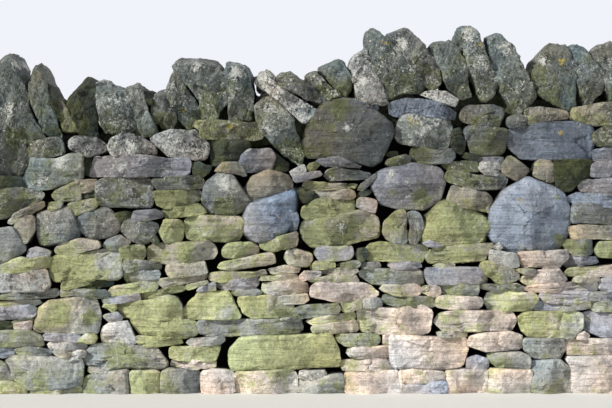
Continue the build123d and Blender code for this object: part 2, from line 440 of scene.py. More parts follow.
def stone_material(name, bedding=0, coarse=0.4, crusts=((48.0, 0.6), (26.0, 0.7), (75.0, 0.75)), algae_colour=(0.325, 0.372, 0.145), joint_shade_colour=(0.016, 0.019, 0.012)):
    """Weathered gritstone with algae and lichen, with painted shade that darkens the stones' sides in the joints.
    Bedding is the angle in degrees that its beds are turned up from level."""
    material = bpy.data.materials.new(name)
    material.use_nodes = True
    tree = material.node_tree
    shader = tree.nodes["Principled BSDF"]
    place = tree.nodes.new("ShaderNodeTexCoord").outputs["Object"]
    tone = tree.nodes.new("ShaderNodeAttribute")
    tone.attribute_name = "tone"
    growth = tree.nodes.new("ShaderNodeAttribute")
    growth.attribute_name = "growth"
    parts = tree.nodes.new("ShaderNodeSeparateColor")
    tree.links.new(growth.outputs["Color"], parts.inputs["Color"])
    algae, lichen, rust = parts.outputs[0], parts.outputs[1], parts.outputs[2]
    show = growth.outputs["Alpha"]
    grit = tree.nodes.new("ShaderNodeGroup")
    grit.node_tree = GRIT
    grit.inputs["Coarse"].default_value = coarse
    turn = tree.nodes.new("ShaderNodeMapping")
    turn.inputs["Rotation"].default_value = (0.0, math.radians(bedding), 0.0)
    tree.links.new(place, turn.inputs["Vector"])
    tree.links.new(turn.outputs["Vector"], grit.inputs["Vector"])
    body = mix_node(tree, 1.0, tone.outputs["Color"], grit.outputs["Shade"], "MULTIPLY")
    iron = step_node(tree, noise_node(tree, place, 8.0, 3.0), 0.45, 0.75, 0.0, 0.6)
    body = mix_node(tree, iron, body, mix_node(tree, 1.0, body, (1.15, 1.0, 0.84), "MULTIPLY"))
    spread = noise_node(tree, place, 16.0, 5.0, 0.65, 0.5)
    reach = math_node(tree, "ADD", spread, math_node(tree, "MULTIPLY", algae, 0.55))
    rock = tree.nodes.new("ShaderNodeSeparateColor")
    tree.links.new(tone.outputs["Color"], rock.inputs["Color"])
    # The algae take the stone's own brightness, so they carry the same painted shade higher up the wall.
    lit = step_node(tree, rock.outputs[1], 0.0, 0.6, 0.2, 1.2)
    green = mix_node(tree, 1.0, algae_colour, math_node(tree, "MULTIPLY", grit.outputs["Shade"], lit), "MULTIPLY")
    body = mix_node(tree, step_node(tree, reach, 0.72, 0.98, 0.0, 0.74), body, green)
    # Pale arrises: the worn edges are cleaner, and a painted highlight lightens them where they catch the light.
    edge_wear_and_highlight = math_node(tree, "MULTIPLY", tone.outputs["Alpha"],
                    step_node(tree, noise_node(tree, place, 30.0, 4.0), 0.40, 0.62, 0.0, 0.45))
    body = mix_node(tree, edge_wear_and_highlight, body, mix_node(tree, 1.0, (1.7, 1.65, 1.55), body, "MULTIPLY"))
    for colour, (scale, strength) in zip(((0.025, 0.03, 0.025), (0.38, 0.41, 0.40), (0.54, 0.55, 0.52)), crusts):
        crust = tree.nodes.new("ShaderNodeGroup")
        crust.node_tree = CRUST
        tree.links.new(place, crust.inputs["Vector"])
        crust.inputs["Scale"].default_value = scale
        patchy = math_node(tree, "MULTIPLY", lichen, step_node(tree, noise_node(tree, place, 6.0 + scale * 0.1),
                                                              0.35, 0.65, 0.55, 1.2))
        tree.links.new(patchy, crust.inputs["Amount"])
        body = mix_node(tree, math_node(tree, "MULTIPLY", crust.outputs["Mask"], strength), body, colour)
    specks = noise_node(tree, place, 55.0, 4.0, 0.7)
    rusty = step_node(tree, math_node(tree, "ADD", specks, math_node(tree, "MULTIPLY", rust, 0.25)), 0.62, 0.72)
    rusty = math_node(tree, "MULTIPLY", rusty, step_node(tree, rust, 0.05, 0.25, 0.0, 0.8))
    body = mix_node(tree, rusty, body, (0.43, 0.34, 0.07))
    # Painted shade: the stones' sides turn near-black the further they lie behind the face, in the joints between
    # stones.
    joint_shade = step_node(tree, show, 0.35, 0.97, 0.95, 0.0)
    body = mix_node(tree, joint_shade, body, joint_shade_colour)
    tree.links.new(body, shader.inputs["Base Color"])
    shader.inputs["Roughness"].default_value = 0.93
    shader.inputs["Specular IOR Level"].default_value = 0.2
    bump = tree.nodes.new("ShaderNodeBump")
    bump.inputs["Strength"].default_value = 0.9
    bump.inputs["Distance"].default_value = 0.012
    tree.links.new(grit.outputs["Height"], bump.inputs["Height"])
    tree.links.new(bump.outputs["Normal"], shader.inputs["Normal"])
    return material


footing_stone = stone_material("footing_stone")
footing_stones = [
    ("Y", 16, 0, (-19, 383), (10, 382), (20, 384), (26, 388), (27, 394), (-19, 394)),
    ("G", 18, 0, (5, 362), (8, 359), (15, 357), (35, 358), (60, 359), (80, 359), (82, 365), (82, 378), (80, 386),
     (60, 388), (30, 389), (12, 381), (7, 370)),
    ("G", 10, -12, (-19, 361), (-8, 360), (4, 363), (9, 372), (12, 381), (-19, 382)),
    ("Y", 12, 0, (31, 391), (35, 388), (52, 388), (80, 388), (80, 394), (29, 394)),
    ("G", 12, 0, (83, 385), (85, 378), (92, 374), (105, 374), (118, 372), (128, 371), (130, 380), (130, 394),
     (82, 394)),
    ("Y", 14, 0, (131, 372), (140, 370), (155, 371), (160, 374), (160, 394), (132, 394)),
    ("G", 14, -6, (162, 373), (170, 369), (188, 370), (199, 372), (200, 394), (162, 394)),
    ("P", 14, 0, (202, 372), (214, 370), (232, 372), (234, 380), (234, 394), (202, 394)),
    ("P", 14, 0, (235, 374), (250, 372), (270, 370), (290, 370), (296, 374), (297, 394), (237, 394)),
    ("W", 8, 0, (300, 372), (312, 370), (325, 371), (326, 376), (318, 379), (300, 379)),
    ("G", 14, -6, (299, 380), (318, 380), (328, 376), (343, 375), (344, 394), (299, 394)),
    ("P", 14, 0, (345, 373), (365, 373), (398, 372), (400, 394), (346, 394)),
    ("P", 10, 0, (400, 372), (412, 370), (430, 372), (444, 373), (445, 381), (430, 382), (402, 382)),
    ("M", 12, 0, (402, 383), (446, 382), (447, 394), (402, 394)),
    ("P", 12, -8, (446, 372), (465, 370), (488, 371), (489, 394), (449, 394)),
    ("P", 14, 0, (490, 370), (510, 370), (531, 371), (532, 394), (491, 394)),
    ("G", 16, 0, (532, 362), (560, 361), (571, 370), (572, 394), (533, 394)),
    ("P", 16, 0, (567, 358), (600, 357), (631, 357), (631, 394), (574, 394), (573, 369)),
    ("G", 16, 0, (-67, 358), (-45, 357), (-21, 359), (-20, 394), (-67, 394)),
    ("G", 16, 0, (633, 353), (660, 352), (679, 353), (679, 394), (633, 394)),
]


def build_skin(stones, side, seed, spacing):
    """The stones of one face in one mesh. Side is -1 at the front and 1 at the back."""
    bm = new_mesh()
    for i, (tone, arris, proud, *spots) in enumerate(stones):
        outline = [on_face(spot) for spot in spots]
        z = sum(p.y for p in outline) / len(outline)
        y = side * (half_width(z) + proud / 1000)
        lay_stone(bm, tone, arris / 1000, outline, y, -side * skin_depth, seed + i, spacing=spacing)
    return bm


front_spacing = 0.0095
back_spacing = 0.013
for side, name in ((-1, "footing_front"), (1, "footing_back")):
    bm = new_mesh()
    for i, (tone, arris, proud, *spots) in enumerate(footing_stones):
        outline = [on_face(spot) for spot in spots]
        y = side * (footing_half_width + (proud - 10) / 1000)
        lay_stone(bm, tone, arris / 1000, outline, y, -side * (skin_depth + 0.02), 100 * side + i,
                  spacing=front_spacing if side < 0 else back_spacing)
    finish_piece(bm, name + "_stones", footing_stone, "footing_stone", name)

# Walling stones
# Random rubble of gritstone, laid dry in seven rough courses to each face, every stone with its length
# into the wall. The faces lean in, and each has its own colour of rock, lichen and algae.
walling_stone = stone_material("walling_stone")
# The near-black stones of tone D are painted shade in the hollows among the walling.
walling_stones = [
    ("G", 14, 4, (-67, 301), (-45, 299), (-20, 300), (-20, 329), (-44, 330), (-67, 329)),
    ("B", 14, 2, (-67, 246), (-40, 245), (-20, 246), (-21, 271), (-50, 271), (-67, 271)),
    ("T", 14, 4, (-67, 176), (-48, 175), (-21, 176), (-20, 207), (-46, 208), (-67, 207)),
    ("G", 14, 4, (632, 312), (660, 311), (679, 311), (679, 337), (655, 338), (632, 337)),
    ("P", 9, 2, (633, 263), (660, 263), (679, 263), (679, 277), (655, 278), (633, 277)),
    ("B", 18, 4, (633, 165), (640, 162), (679, 162), (679, 221), (650, 222), (633, 220)),
    ("D", 8, -20, (-19, 174), (0, 176), (20, 178), (24, 188), (0, 191), (-19, 194)),
    ("C+", 14, 6, (22, 178), (24, 170), (28, 162), (31, 158), (42, 159), (55, 160), (62, 157), (70, 155), (82, 154),
     (82, 165), (81, 178), (72, 181), (60, 184), (48, 188), (35, 190), (28, 190), (24, 185)),
    ("D", 8, -22, (83, 158), (94, 157), (90, 166), (88, 175), (83, 175)),
    ("M+", 8, 6, (88, 176), (90, 168), (94, 158), (105, 157), (115, 156), (122, 155), (130, 155), (140, 157),
     (150, 156), (165, 159), (180, 158), (188, 158), (190, 164), (188, 172), (184, 176), (165, 177), (130, 176)),
    ("G", 12, 2, (96, 190), (97, 183), (104, 179), (118, 178), (135, 178), (145, 178), (150, 181), (152, 188),
     (152, 200), (150, 207), (135, 208), (120, 208), (110, 206), (100, 206), (96, 200)),
    ("T", 8, 2, (52, 196), (55, 191), (64, 187), (78, 181), (90, 180), (96, 180), (96, 186), (94, 190), (80, 192),
     (80, 199), (68, 200), (60, 201), (56, 200)),
    ("D", 6, -14, (81, 192), (93, 191), (94, 198), (81, 199)),
    ("Y", 6, 0, (46, 206), (48, 203), (55, 201), (62, 202), (60, 207), (52, 210), (47, 209)),
    ("Y", 8, 0, (67, 205), (70, 202), (80, 200), (95, 199), (97, 203), (95, 207), (85, 211), (73, 216), (70, 212)),
    ("G", 10, 0, (-19, 194), (0, 192), (8, 189), (20, 188), (30, 191), (42, 193), (40, 198), (30, 203), (20, 210),
     (10, 216), (4, 218), (-19, 219)),
    ("T", 6, 0, (6, 223), (14, 214), (26, 209), (35, 204), (42, 202), (43, 206), (35, 211), (25, 214), (16, 220),
     (10, 224)),
    ("T", 9, 6, (14, 226), (16, 221), (25, 217), (31, 215), (34, 218), (34, 230), (30, 237), (26, 243), (21, 243),
     (18, 238), (15, 230)),
    ("G", 14, 2, (74, 225), (78, 218), (88, 213), (96, 209), (102, 208), (108, 210), (114, 216), (118, 225),
     (117, 231), (112, 236), (103, 239), (90, 240), (84, 236), (78, 230)),
    ("D", 6, -20, (114, 214), (124, 212), (132, 213), (132, 218), (122, 222), (116, 223)),
    ("M", 6, 2, (132, 218), (134, 212), (145, 210), (155, 210), (162, 213), (162, 217), (152, 219), (140, 221),
     (134, 222)),
    ("G", 10, 4, (120, 230), (124, 222), (130, 220), (136, 223), (150, 222), (157, 225), (157, 230), (152, 236),
     (148, 243), (140, 244), (130, 240), (124, 235)),
    ("G+", 12, 2, (-19, 232), (0, 230), (8, 228), (12, 228), (14, 234), (20, 243), (24, 247), (23, 252), (15, 257),
     (8, 261), (0, 265), (-19, 264)),
    ("M", 6, -12, (25, 254), (28, 250), (35, 248), (46, 250), (50, 252), (48, 256), (38, 258), (28, 259)),
    ("Y", 8, 4, (-19, 268), (0, 266), (8, 262), (20, 258), (28, 260), (38, 259), (48, 257), (51, 259), (47, 263),
     (45, 268), (38, 270), (25, 271), (10, 273), (-19, 274)),
    ("W-", 12, 2, (-19, 276), (10, 274), (25, 272), (36, 271), (46, 270), (48, 275), (49, 285), (45, 290), (30, 292),
     (15, 293), (-19, 293)),
    ("T", 8, 4, (54, 250), (58, 245), (64, 243), (72, 240), (80, 239), (90, 241), (98, 242), (100, 247), (95, 249),
     (85, 251), (76, 253), (66, 256), (60, 256), (56, 254)),
    ("G", 7, 2, (102, 246), (106, 241), (112, 239), (120, 236), (126, 238), (130, 242), (128, 245), (120, 247),
     (112, 250), (106, 249)),
    ("Y", 12, 8, (48, 263), (50, 259), (56, 256), (62, 257), (70, 257), (85, 254), (95, 252), (104, 250), (116, 250),
     (120, 256), (121, 265), (121, 274), (118, 278), (110, 278), (98, 279), (90, 280), (78, 280), (64, 281),
     (54, 281), (49, 276)),
    ("Y", 5, 0, (60, 289), (63, 283), (70, 281), (85, 281), (92, 283), (80, 286), (72, 288), (66, 290)),
    ("D", 5, -20, (75, 288), (85, 285), (100, 281), (112, 281), (111, 286), (100, 289), (85, 290)),
    ("Y", 8, 4, (120, 255), (120, 249), (123, 247), (135, 245), (143, 246), (145, 250), (144, 257), (138, 260),
     (128, 260), (121, 258)),
    ("T", 11, 4, (146, 255), (147, 248), (152, 245), (165, 244), (180, 243), (200, 241), (208, 242), (214, 246),
     (216, 252), (214, 258), (205, 260), (190, 262), (170, 264), (155, 262), (148, 260)),
    ("G", 6, 0, (121, 262), (128, 260), (140, 261), (150, 262), (160, 264), (159, 269), (150, 270), (138, 271),
     (126, 272)),
    ("G+", 7, 0, (123, 275), (126, 273), (140, 272), (158, 271), (160, 274), (158, 279), (145, 281), (135, 283),
     (127, 283), (124, 280)),
    ("Y", 7, 2, (108, 292), (111, 288), (125, 285), (140, 282), (150, 280), (156, 280), (158, 285), (155, 290),
     (145, 292), (130, 295), (118, 297), (110, 297)),
    ("G", 5, 0, (57, 292), (60, 290), (75, 290), (90, 291), (105, 291), (108, 294), (107, 298), (80, 298),
     (60, 297)),
    ("G", 5, 0, (-19, 298), (12, 296), (25, 294), (40, 292), (50, 290), (56, 290), (57, 295), (52, 297), (35, 298),
     (20, 299), (-19, 300)),
    ("Y", 6, 0, (141, 298), (142, 293), (150, 291), (160, 290), (175, 287), (183, 286), (184, 290), (180, 292),
     (165, 295), (152, 298), (144, 300)),
    ("M", 4, 0, (101, 300), (104, 299), (115, 298), (130, 296), (139, 294), (140, 299), (130, 301), (118, 303),
     (105, 304)),
    ("Y", 4, 0, (103, 307), (104, 305), (110, 304), (116, 304), (116, 309), (113, 312), (108, 311)),
    ("Y", 12, 6, (117, 308), (119, 304), (135, 302), (150, 301), (158, 299), (168, 296), (176, 298), (181, 306),
     (181, 318), (170, 319), (158, 320), (145, 318), (130, 317), (121, 317)),
    ("T", 14, 8, (37, 310), (42, 306), (50, 302), (60, 300), (75, 299), (95, 300), (97, 305), (99, 315), (98, 325),
     (97, 333), (88, 334), (70, 334), (50, 333), (38, 332), (33, 329), (33, 324)),
    ("T", 4, 0, (-19, 303), (12, 301), (25, 300), (38, 301), (40, 304), (30, 306), (-19, 307)),
    ("M", 7, 0, (-19, 309), (10, 307), (20, 306), (30, 306), (35, 310), (33, 315), (28, 318), (12, 320), (-19, 321)),
    ("G", 4, -4, (10, 322), (20, 320), (31, 318), (32, 321), (22, 323), (12, 325)),
    ("D", 5, -6, (-19, 330), (-19, 324), (8, 323), (13, 325), (12, 330)),
    ("P", 5, 0, (14, 330), (14, 325), (22, 323), (31, 322), (30, 330)),
    ("M", 4, -2, (104, 319), (103, 316), (110, 313), (117, 313), (121, 318), (120, 321), (108, 321)),
    ("G", 9, 4, (-19, 332), (10, 331), (20, 331), (28, 331), (35, 333), (41, 338), (42, 346), (30, 346), (15, 347),
     (-19, 347)),
    ("M", 6, 2, (43, 340), (42, 336), (47, 334), (55, 335), (65, 335), (78, 335), (80, 339), (76, 342), (65, 342),
     (50, 341)),
    ("Y", 6, 0, (81, 337), (84, 335), (95, 335), (96, 339), (93, 343), (85, 344), (76, 343)),
    ("W", 6, 2, (47, 345), (52, 342), (62, 343), (72, 343), (82, 345), (86, 348), (84, 350), (70, 351), (58, 350),
     (50, 349)),
    ("T", 4, 0, (52, 352), (58, 350), (68, 351), (72, 353), (72, 357), (60, 357)),
    ("W", 4, 0, (72, 354), (78, 351), (85, 352), (84, 357), (74, 357)),
    ("G", 5, 0, (14, 350), (18, 349), (30, 348), (45, 349), (50, 351), (49, 356), (38, 357), (20, 357)),
    ("B", 5, -4, (-19, 350), (8, 349), (13, 351), (13, 357), (5, 358), (-19, 358)),
    ("W", 7, 2, (100, 335), (103, 328), (108, 324), (118, 323), (127, 322), (130, 326), (133, 333), (135, 340),
     (134, 344), (125, 344), (112, 344), (102, 344)),
    ("Y", 9, 4, (130, 321), (133, 318), (145, 319), (160, 320), (175, 321), (190, 321), (196, 324), (198, 330),
     (196, 335), (185, 338), (170, 337), (150, 336), (140, 335), (135, 328)),
    ("Y", 6, 0, (135, 340), (137, 337), (150, 337), (165, 337), (180, 339), (182, 344), (175, 346), (160, 347),
     (145, 347)),
    ("G", 12, 8, (83, 362), (86, 352), (92, 346), (100, 345), (115, 344), (130, 345), (145, 346), (155, 348),
     (160, 355), (167, 364), (165, 369), (150, 369), (130, 368), (110, 367), (90, 366)),
    ("G", 4, 0, (87, 372), (88, 368), (100, 367), (120, 369), (128, 370), (118, 373), (95, 374)),
    ("D", 9, -4, (210, 141), (225, 140), (240, 140), (248, 140), (250, 146), (245, 152), (240, 162), (228, 162),
     (218, 163), (211, 165), (211, 155)),
    ("M", 12, 4, (240, 163), (242, 156), (248, 151), (260, 150), (270, 149), (275, 155), (273, 162), (270, 170),
     (262, 172), (250, 173), (243, 172)),
    ("T", 7, 2, (215, 171), (218, 167), (222, 164), (232, 162), (240, 163), (243, 172), (246, 176), (238, 175),
     (230, 171)),
    ("D", 6, -18, (191, 163), (199, 162), (205, 166), (211, 166), (208, 172), (202, 176), (193, 175)),
    ("G", 7, 2, (152, 180), (154, 179), (170, 178), (185, 177), (200, 175), (203, 180), (201, 188), (190, 189),
     (170, 189), (156, 189)),
    ("Y", 8, 2, (153, 192), (160, 191), (175, 190), (190, 191), (199, 191), (201, 195), (199, 200), (190, 204),
     (178, 207), (165, 208), (157, 205), (154, 198)),
    ("G+", 22, 12, (203, 192), (206, 183), (211, 178), (218, 174), (225, 173), (232, 176), (238, 183), (243, 191),
     (249, 201), (250, 206), (245, 210), (235, 214), (222, 216), (212, 214), (206, 208), (202, 202)),
    ("T", 16, 8, (244, 190), (246, 184), (252, 177), (260, 173), (268, 171), (278, 172), (287, 176), (292, 183),
     (291, 190), (285, 194), (275, 197), (262, 201), (253, 201), (248, 198)),
    ("Y", 8, 0, (160, 211), (172, 209), (183, 207), (195, 204), (200, 204), (203, 208), (206, 213), (198, 215),
     (185, 215), (172, 218), (163, 216)),
    ("W", 5, 2, (290, 172), (293, 169), (300, 167), (304, 165), (306, 172), (300, 176), (293, 177)),
    ("M", 5, 2, (293, 179), (300, 176), (312, 172), (320, 172), (322, 175), (315, 178), (305, 181), (296, 182)),
    ("D", 5, -24, (271, 150), (280, 158), (288, 164), (287, 170), (278, 172), (271, 170)),
    ("D", 4, -14, (293, 196), (296, 190), (303, 186), (304, 192), (299, 198)),
    ("G-", 26, 16, (303, 145), (306, 130), (310, 122), (318, 112), (324, 102), (340, 99), (360, 101), (372, 108),
     (384, 118), (392, 125), (393, 133), (390, 142), (384, 152), (381, 160), (372, 165), (362, 162), (350, 158),
     (342, 156), (330, 156), (318, 157), (307, 156)),
    ("M", 5, -12, (316, 161), (320, 159), (330, 158), (338, 157), (345, 160), (355, 164), (362, 167), (340, 167),
     (325, 166)),
    ("Y", 4, 0, (307, 168), (310, 164), (316, 163), (320, 165), (316, 170), (311, 172)),
    ("G", 6, 0, (325, 176), (328, 171), (337, 168), (350, 169), (362, 171), (370, 174), (372, 178), (360, 180),
     (345, 180), (330, 180)),
    ("T", 5, 2, (303, 188), (305, 182), (315, 181), (335, 182), (350, 183), (357, 185), (355, 188), (340, 188),
     (325, 188), (312, 190)),
    ("T", 5, 2, (316, 192), (320, 190), (335, 189), (350, 190), (354, 192), (355, 197), (350, 199), (335, 199),
     (322, 198)),
    ("D", 5, -6, (300, 196), (303, 192), (312, 192), (318, 195), (317, 199), (310, 203), (302, 203)),
    ("Y", 8, 4, (310, 204), (318, 200), (330, 199), (345, 200), (354, 200), (354, 210), (350, 213), (335, 215),
     (315, 218), (306, 219), (302, 216), (303, 208)),
    ("P", 5, 0, (357, 207), (358, 200), (362, 198), (370, 200), (377, 201), (377, 208), (375, 213), (368, 212)),
    ("G", 4, 0, (358, 190), (362, 184), (368, 179), (376, 174), (376, 178), (370, 184), (363, 190)),
    ("D", 4, -12, (357, 196), (362, 192), (370, 190), (372, 192), (364, 196), (360, 198)),
    ("M", 24, 14, (373, 180), (377, 174), (384, 170), (395, 168), (405, 166), (412, 164), (420, 165), (430, 166),
     (438, 168), (443, 173), (445, 182), (444, 190), (440, 198), (432, 205), (425, 208), (415, 208), (400, 208),
     (390, 206), (382, 203), (376, 195), (372, 187)),
    ("G", 7, 0, (386, 164), (388, 160), (395, 157), (405, 155), (410, 157), (411, 162), (405, 166), (397, 168)),
    ("D", 4, -20, (387, 155), (390, 152), (397, 152), (399, 155), (393, 157)),
    ("C+", 14, 4, (396, 136), (398, 124), (402, 117), (410, 115), (425, 116), (440, 119), (450, 120), (452, 128),
     (450, 140), (448, 148), (440, 149), (425, 147), (410, 145), (400, 142)),
    ("G", 8, 0, (411, 158), (412, 149), (420, 147), (435, 150), (445, 150), (455, 149), (456, 156), (450, 162),
     (435, 163), (420, 164)),
    ("G", 7, 0, (442, 165), (448, 162), (460, 161), (475, 162), (479, 165), (479, 171), (465, 171), (450, 170)),
    ("G", 9, 4, (446, 178), (448, 172), (455, 171), (470, 173), (480, 176), (495, 175), (506, 175), (508, 180),
     (505, 188), (490, 189), (478, 189), (468, 186), (458, 184), (450, 182)),
    ("T", 11, 8, (448, 200), (450, 192), (453, 186), (460, 186), (470, 190), (480, 192), (488, 194), (492, 198),
     (494, 206), (491, 212), (480, 211), (470, 208), (460, 206), (452, 205)),
    ("G", 13, 6, (465, 130), (468, 127), (480, 128), (495, 129), (508, 129), (508, 138), (505, 150), (500, 154),
     (485, 154), (473, 155), (470, 145), (467, 138)),
    ("D", 5, -14, (453, 130), (460, 128), (463, 132), (460, 136), (453, 136)),
    ("D", 7, -8, (452, 145), (453, 138), (462, 136), (466, 140), (465, 150), (462, 154), (455, 150)),
    ("G", 7, 0, (507, 124), (508, 118), (515, 115), (526, 116), (528, 122), (522, 126), (510, 127)),
    ("B", 16, 8, (509, 138), (510, 130), (520, 127), (535, 124), (550, 122), (562, 121), (575, 121), (585, 121),
     (591, 126), (595, 132), (594, 142), (592, 150), (592, 158), (585, 160), (570, 158), (550, 158), (535, 159),
     (522, 158), (514, 152), (510, 146)),
    ("G", 9, 0, (594, 134), (598, 130), (605, 127), (615, 126), (631, 127), (631, 146), (615, 146), (600, 146),
     (594, 141)),
    ("M", 9, 0, (591, 154), (596, 150), (606, 149), (631, 149), (631, 161), (605, 161), (593, 160)),
    ("D", 10, -2, (554, 164), (556, 161), (570, 160), (585, 160), (593, 161), (592, 170), (591, 177), (583, 179),
     (579, 184), (572, 190), (563, 191), (558, 186), (556, 176)),
    ("M", 9, 0, (593, 165), (598, 162), (612, 161), (631, 162), (631, 177), (612, 177), (600, 177), (592, 176)),
    ("T", 9, 0, (534, 172), (536, 163), (541, 160), (551, 161), (555, 168), (556, 180), (549, 182), (540, 179),
     (535, 176)),
    ("T", 10, 4, (502, 166), (505, 160), (510, 156), (516, 160), (522, 165), (529, 170), (526, 176), (519, 181),
     (510, 178), (504, 173)),
    ("M", 5, -14, (470, 160), (480, 157), (495, 157), (504, 158), (502, 163), (490, 164), (478, 164)),
    ("W", 6, 0, (479, 168), (482, 163), (495, 162), (502, 165), (504, 172), (498, 175), (485, 174)),
    ("D", 4, -6, (463, 157), (466, 153), (475, 154), (480, 157), (470, 160)),
    ("B+", 30, 24, (489, 222), (492, 210), (497, 200), (503, 192), (512, 187), (520, 181), (528, 178), (535, 180),
     (545, 185), (558, 190), (565, 196), (569, 205), (572, 214), (571, 225), (568, 235), (562, 245), (553, 252),
     (540, 252), (525, 250), (512, 252), (503, 247), (494, 240), (489, 232)),
    ("M", 9, 2, (580, 186), (584, 181), (595, 179), (612, 178), (631, 178), (631, 194), (612, 195), (600, 195),
     (590, 192), (582, 190)),
    ("B", 5, 0, (566, 199), (569, 196), (578, 193), (590, 194), (605, 196), (631, 197), (631, 206), (612, 207),
     (595, 205), (575, 203)),
    ("G", 9, 2, (573, 222), (574, 206), (580, 204), (600, 206), (631, 208), (631, 223), (610, 224), (590, 223)),
    ("D", 4, -20, (540, 181), (550, 183), (560, 186), (563, 191), (555, 190), (545, 186)),
    ("M", 4, 0, (422, 243), (430, 241), (437, 243), (444, 246), (438, 247), (428, 246)),
    ("Y", 9, 2, (426, 258), (432, 250), (440, 247), (455, 246), (475, 245), (485, 243), (494, 244), (489, 250),
     (485, 260), (475, 262), (455, 263), (440, 264), (430, 263)),
    ("W", 7, 2, (489, 258), (491, 251), (500, 251), (510, 253), (517, 255), (519, 262), (520, 267), (510, 267),
     (498, 264), (490, 262)),
    ("W", 3, 0, (494, 248), (499, 243), (503, 247), (500, 250)),
    ("P", 8, 2, (520, 260), (519, 253), (530, 251), (545, 252), (560, 251), (568, 251), (569, 257), (563, 264),
     (558, 268), (545, 269), (530, 268), (524, 267)),
    ("T", 8, 2, (571, 236), (570, 228), (580, 226), (600, 225), (631, 225), (631, 239), (605, 239), (585, 239),
     (573, 238)),
    ("G", 7, 0, (565, 245), (568, 240), (580, 240), (592, 240), (593, 246), (594, 254), (588, 256), (575, 255),
     (568, 251)),
    ("Y", 8, 2, (596, 250), (600, 243), (612, 241), (631, 241), (631, 258), (612, 259), (600, 257)),
    ("M", 4, -14, (562, 262), (568, 256), (580, 257), (598, 258), (600, 263), (590, 266), (570, 268)),
    ("P", 6, 2, (565, 275), (570, 269), (585, 267), (600, 266), (612, 266), (631, 262), (631, 275), (612, 276),
     (590, 277), (575, 276)),
    ("T", 8, 2, (480, 270), (481, 263), (490, 262), (500, 265), (512, 269), (518, 272), (520, 279), (513, 283),
     (502, 285), (495, 282), (488, 276)),
    ("T", 3, 0, (517, 270), (525, 269), (537, 270), (536, 273), (525, 274)),
    ("P", 7, 2, (521, 280), (528, 276), (537, 271), (550, 270), (560, 270), (564, 274), (568, 280), (562, 283),
     (545, 284), (530, 286)),
    ("T", 3, 0, (574, 281), (577, 277), (590, 277), (600, 278), (600, 281), (590, 282)),
    ("M", 7, 2, (600, 288), (603, 280), (608, 277), (620, 276), (631, 277), (631, 290), (612, 291), (603, 290)),
    ("P", 6, 2, (525, 289), (535, 286), (550, 285), (565, 283), (580, 282), (598, 283), (600, 288), (596, 292),
     (580, 292), (560, 292), (545, 293), (530, 292)),
    ("G", 5, 0, (481, 288), (482, 285), (495, 284), (505, 285), (518, 285), (526, 288), (525, 292), (510, 292),
     (495, 291)),
    ("M", 6, 0, (540, 297), (543, 294), (560, 293), (580, 293), (600, 293), (631, 292), (631, 298), (610, 299),
     (590, 300), (570, 302), (550, 303)),
    ("M", 6, 0, (533, 309), (535, 304), (542, 302), (560, 303), (580, 301), (591, 302), (591, 308), (584, 310),
     (565, 311), (548, 312)),
    ("G", 6, 0, (592, 309), (593, 302), (612, 300), (631, 300), (631, 311), (612, 312), (595, 311)),
    ("Y", 10, 2, (486, 302), (488, 294), (495, 292), (510, 293), (525, 293), (535, 295), (539, 299), (534, 304),
     (532, 311), (520, 312), (505, 311), (490, 310)),
    ("P", 8, 2, (436, 307), (437, 298), (445, 296), (460, 296), (475, 297), (481, 299), (483, 305), (480, 308),
     (465, 309), (450, 309)),
    ("P", 6, 0, (421, 293), (423, 287), (435, 286), (440, 288), (441, 293), (436, 297), (428, 296)),
    ("G", 6, 0, (441, 291), (442, 286), (460, 285), (479, 285), (480, 292), (478, 296), (462, 296), (445, 294)),
    ("M", 9, 4, (425, 275), (426, 269), (440, 268), (455, 267), (470, 267), (478, 268), (482, 272), (488, 279),
     (487, 283), (470, 284), (450, 285), (430, 285)),
    ("T", 3, 0, (434, 266), (440, 264), (455, 264), (455, 267), (440, 268)),
    ("Y-", 15, 8, (301, 230), (303, 222), (312, 220), (325, 218), (340, 216), (352, 213), (362, 211), (372, 213),
     (378, 220), (380, 228), (379, 236), (372, 239), (360, 242), (345, 245), (330, 246), (312, 247), (304, 238)),
    ("M", 8, 0, (314, 253), (318, 248), (330, 247), (345, 246), (352, 247), (353, 255), (350, 259), (335, 260),
     (320, 261)),
    ("D", 6, -6, (356, 255), (358, 250), (366, 248), (368, 256), (362, 262)),
    ("Y", 10, 4, (366, 250), (370, 245), (380, 243), (400, 244), (415, 244), (426, 246), (428, 250), (425, 258),
     (422, 262), (410, 262), (395, 262), (380, 262), (368, 260)),
    ("T", 10, 2, (383, 233), (385, 222), (391, 216), (397, 212), (403, 210), (406, 214), (408, 228), (407, 243),
     (395, 243), (388, 240)),
    ("G", 8, 0, (408, 213), (414, 211), (420, 214), (423, 222), (423, 232), (420, 240), (416, 244), (410, 243),
     (411, 226)),
    ("T", 8, 2, (285, 258), (287, 252), (295, 249), (303, 250), (311, 254), (312, 260), (308, 266), (298, 267),
     (290, 266)),
    ("Y", 4, 0, (310, 266), (316, 262), (330, 262), (335, 263), (335, 267), (325, 269), (312, 271)),
    ("G", 4, 0, (336, 265), (345, 262), (358, 261), (361, 264), (358, 267), (345, 268)),
    ("G", 4, 0, (362, 268), (363, 263), (370, 262), (378, 262), (381, 266), (378, 269), (368, 270)),
    ("M", 4, 0, (388, 266), (390, 263), (405, 263), (420, 263), (422, 267), (415, 269), (395, 269)),
    ("G", 8, 2, (360, 275), (361, 271), (375, 270), (395, 270), (415, 269), (421, 272), (424, 278), (424, 284),
     (410, 285), (390, 285), (372, 283)),
    ("T", 4, 0, (321, 273), (325, 270), (340, 268), (355, 268), (359, 271), (350, 276), (335, 275)),
    ("T", 5, 0, (309, 281), (318, 278), (330, 276), (345, 277), (356, 276), (359, 283), (345, 283), (325, 283)),
    ("P", 5, 0, (300, 277), (305, 272), (315, 271), (321, 273), (318, 277), (308, 279), (300, 281)),
    ("T", 4, 0, (266, 270), (270, 268), (285, 266), (297, 267), (300, 269), (298, 272), (285, 274), (272, 274)),
